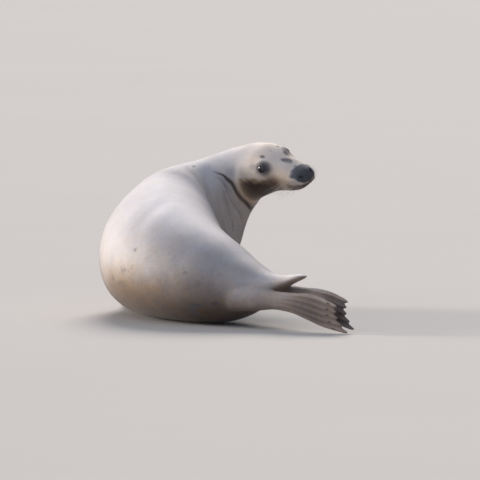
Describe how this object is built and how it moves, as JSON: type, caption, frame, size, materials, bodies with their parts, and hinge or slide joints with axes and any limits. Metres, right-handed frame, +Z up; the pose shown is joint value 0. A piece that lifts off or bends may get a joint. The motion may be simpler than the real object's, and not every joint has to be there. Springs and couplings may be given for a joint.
{
  "type": "grey seal",
  "caption": "Still model of a resting grey seal, body curled to its right and head raised and turned back.",
  "frame": {"origin": "on the floor under the middle of the model's box", "axes": "+Z up; the hind end points to +X and -Y, the outer side of the curled trunk faces -X, and the head looks to +X and -Y"},
  "size_m": [0.726, 1.1754, 0.474],
  "materials": {
    "head_coat": "short dense fur, cream to buff with small slate spots, darker nose",
    "body_coat": "short flat fur, silver grey above, buff and darker blotches below",
    "flipper_skin": "short thin fur over webbed digits, brown grey, with dark claws",
    "eye": "wet, near black"
  },
  "bodies": {
    "root": {"head": "head_coat", "muzzle": "head_coat", "lower_jaw": "head_coat", "eye_left": "eye", "eye_right": "eye", "neck": "body_coat", "chest": "body_coat", "belly": "body_coat", "hindquarters": "body_coat", "tail": "body_coat", "fore_flipper_left": "flipper_skin", "fore_flipper_right": "flipper_skin", "hind_flipper_left": "flipper_skin", "hind_flipper_right": "flipper_skin"}
  },
  "joints": []
}
